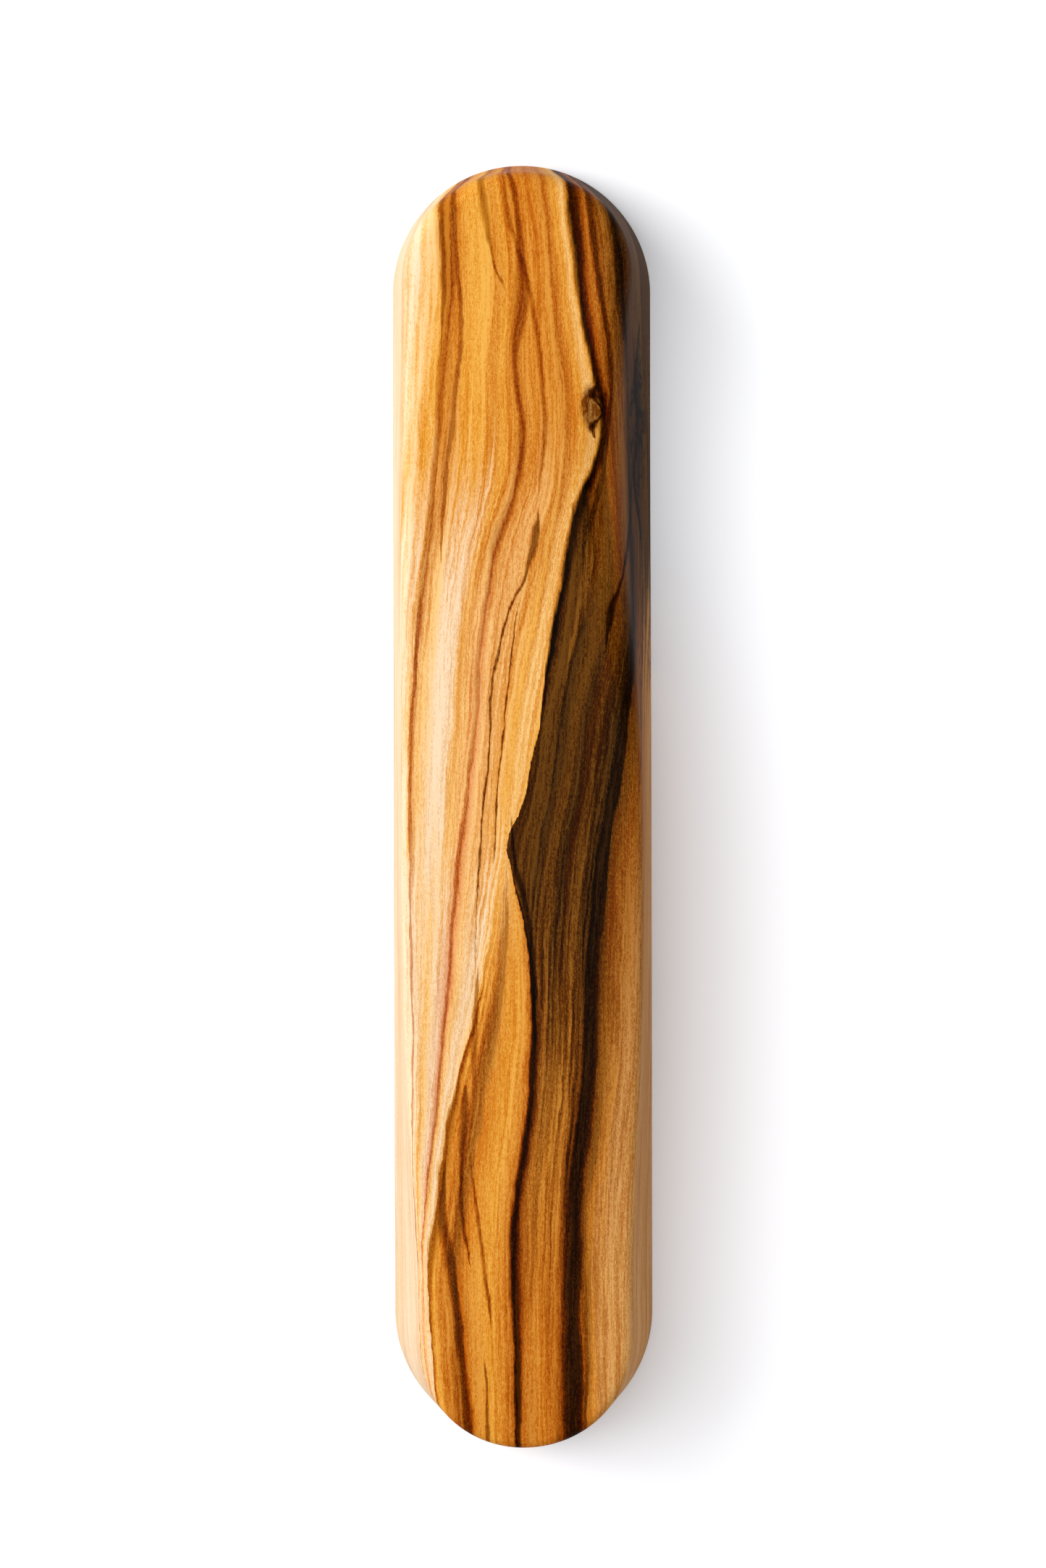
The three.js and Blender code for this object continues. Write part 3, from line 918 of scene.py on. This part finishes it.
# %% Rolled sheets
def rolled_sheet(name, middle, half_length, path, thickness, material, waves=0.0, edge_rows=20):
    """A sheet rolled about a line along y. path is (angle, radius) pairs of the sheet's middle
    layer. At each pair stands a loop: the outer face from one end to the other, then back along the
    inner face. Each loop is half a thickness out and in from the radius. Both ends are capped."""
    angle, radius = np.asarray(path).T
    along = np.linspace(-1, 1, edge_rows)
    reach = np.concatenate([along, along[::-1]])
    layer = np.concatenate([np.ones(edge_rows), -np.ones(edge_rows)]) * thickness / 2
    layer[[0, edge_rows - 1, edge_rows, -1]] *= 0.5
    swell = waves * (np.sin(3.1 * angle) + 0.6 * np.sin(7.7 * angle + 1.0))
    r = radius[:, None] + layer[None, :]
    x = middle.x + r * np.cos(angle)[:, None]
    z = middle.z + r * np.sin(angle)[:, None]
    y = middle.y + reach[None, :] * (half_length - waves * 1.6 + swell[:, None])
    points = np.stack([x, y, z], -1)
    rows, columns = points.shape[:2]
    faces = [list(q) for q in wrapped_quads(rows, columns)]
    for start in (0, (rows - 1) * columns):
        for i in range(edge_rows - 1):
            a, b = start + i, start + columns - 1 - i
            faces.append([a, a + 1, b - 1, b])
    return mesh_object(name, points, faces, [material], weld=False)


parchment, r, shader = new_material("parchment")
place = r.place_in_mm()
clouds = r.noise(place, 0.25, 4.0, 0.6)
grains = r.noise(place, 3.2, 3.0, 0.6)
tone = r.ramp(clouds, [(0.25, colour("d9c39a")), (0.5, colour("e8d8b6")), (0.75, colour("f0e4c9"))])
tone = r.mix(r.ease(grains, 0.55, 0.75, 0.0, 0.35), tone, colour("b99a68"), "MULTIPLY")
r.feed(shader.inputs["Base Color"], tone)
r.feed(shader.inputs["Roughness"], r.ease(grains, 0.3, 0.7, 0.5, 0.66))
r.bump(shader, 0.5, 0.00005, grains)

scroll_low, scroll_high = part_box("scroll")
scroll_middle = (scroll_low + scroll_high) / 2
roll_radius = (scroll_high.x - scroll_low.x) / 2
SHEET_LAYER = 0.00034
ROLL_TURNS = 4.6
ROLL_START = 0.6
CORE_RADIUS = 0.0017
angle = np.linspace(ROLL_START, ROLL_START + ROLL_TURNS * 2 * math.pi, 300)
radius = np.linspace(CORE_RADIUS, roll_radius - SHEET_LAYER / 2 - 0.00002, len(angle))
scroll = rolled_sheet("parchment_roll", scroll_middle, (scroll_high.y - scroll_low.y) / 2,
                      np.stack([angle, radius], -1), SHEET_LAYER, parchment, waves=0.0002)
soften(scroll, 50)
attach(scroll, "scroll")
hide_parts("scroll")
print("roll:", len(scroll.data.polygons), "faces,", ROLL_TURNS, "turns")

# %% [markdown]
# ## The film sleeve
#
# The roll is wrapped in clear film, once round with a small overlap. Film is so thin that bending
# light through it costs time and adds nothing. A mostly transparent, glossy surface is enough, with
# a few faint creases to catch the light.

# %% The film
film, r, shader = new_material("film")
place = r.place_in_mm()
creases = r.noise(place, 0.3, 3.0, 0.55)
scuffs = r.noise(place, 1.7, 4.0, 0.7)
r.feed(shader.inputs["Alpha"], r.ease(scuffs, 0.45, 0.8, 0.16, 0.34))
r.feed(shader.inputs["Roughness"], r.ease(scuffs, 0.4, 0.7, 0.07, 0.2))
r.bump(shader, 0.3, 0.0004, creases)
shader.inputs["Base Color"].default_value = colour("eef3f5")
shader.inputs["IOR"].default_value = 1.49

sleeve_middle = (sleeve_low + sleeve_high) / 2
sleeve_radius = (sleeve_high.x - sleeve_low.x) / 2
FILM = 0.00008
FILM_TURNS = 1.12
FILM_START = 0.3
STEP_OUT = 5.2  # how far round, in radians, the film starts to climb over its own first edge
angle = np.linspace(FILM_START, FILM_START + FILM_TURNS * 2 * math.pi, 140)
inner, outer = sleeve_radius - 1.6 * FILM, sleeve_radius - 0.55 * FILM
share = np.clip(angle - angle[0] - STEP_OUT, 0, 1)
radius = inner + (outer - inner) * share ** 2 * (3 - 2 * share)
sleeve = rolled_sheet("film_sleeve", sleeve_middle, (sleeve_high.y - sleeve_low.y) / 2,
                      np.stack([angle, radius], -1), FILM, film)
soften(sleeve, 50)
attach(sleeve, "scroll")
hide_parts("scroll_sleeve")
print("sleeve:", len(sleeve.data.polygons), "faces")

# %% [markdown]
# ## Foam tape
#
# Each strip of double-sided foam tape is die-cut with round corners. Its sides are open foam, full
# of pores, and its free face is covered by a waxed paper liner that is peeled off before the case
# is stuck to the post.

# %% Foam and liners
foam, r, shader = new_material("foam")
place = r.place_in_mm()
cells = r.node("ShaderNodeTexVoronoi", {}, {"Vector": place, "Scale": 4.5}).outputs["Distance"]
# Each pore is darker at its middle, where the bump sinks deepest: painted shade in the pores.
tone = r.ramp(cells, [(0.0, colour("bfbdb6")), (0.35, colour("dddbd4")), (0.8, colour("efeee9"))])
r.feed(shader.inputs["Base Color"], tone)
r.bump(shader, 0.8, 0.00008, cells)
shader.inputs["Roughness"].default_value = 0.85

waxed_paper, r, shader = new_material("waxed_paper")
place = r.place_in_mm()
x, y, z = r.split(place)
fibres = r.noise(r.point(r.times(x, 3.0), r.times(y, 0.9), z), 1.0, 4.0, 0.65)
mottle = r.noise(place, 0.35, 2.0)
tone = r.ramp(r.plus(r.times(fibres, 0.6), r.times(mottle, 0.4)),
              [(0.3, colour("cfdcd9")), (0.5, colour("dfe8e4")), (0.7, colour("ecf1ed"))])
r.feed(shader.inputs["Base Color"], tone)
r.feed(shader.inputs["Roughness"], r.ease(fibres, 0.35, 0.65, 0.3, 0.42))
r.bump(shader, 0.25, 0.00003, fibres)


def rounded_plate(name, box, corner, edge, material):
    """A flat plate that fills box, with round corners seen from above and edges eased by a
    quarter circle of radius edge."""
    low, high = box
    middle, half = (low + high) / 2, (high - low) / 2
    bend = np.linspace(0, math.pi / 2, 6)
    inset = np.concatenate([edge * (1 - np.sin(bend)), edge * (1 - np.cos(bend))])
    height = np.concatenate([low.z + edge * (1 - np.cos(bend)), high.z - edge * (1 - np.sin(bend))])
    rings = [pocket_ring(half.x - i, half.y - i, max(corner - i, 0.0002), h)
             for i, h in zip(inset, height)]
    for ring in rings:
        ring[:, 0] += middle.x
        ring[:, 1] += middle.y
    return soften(loft(name, rings, [material]), 50)


for which in ("upper", "lower"):
    pad = rounded_plate(f"{which}_foam", pads[which], PAD_CORNER, 0.00012, foam)
    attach(pad, "slide")
    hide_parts(f"{which}_tape_pad")
    liner = rounded_plate(f"{which}_paper", liners[which], PAD_CORNER, 0.00005, waxed_paper)
    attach(liner, "slide")
    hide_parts(f"{which}_liner")
print("two pads and two liners")
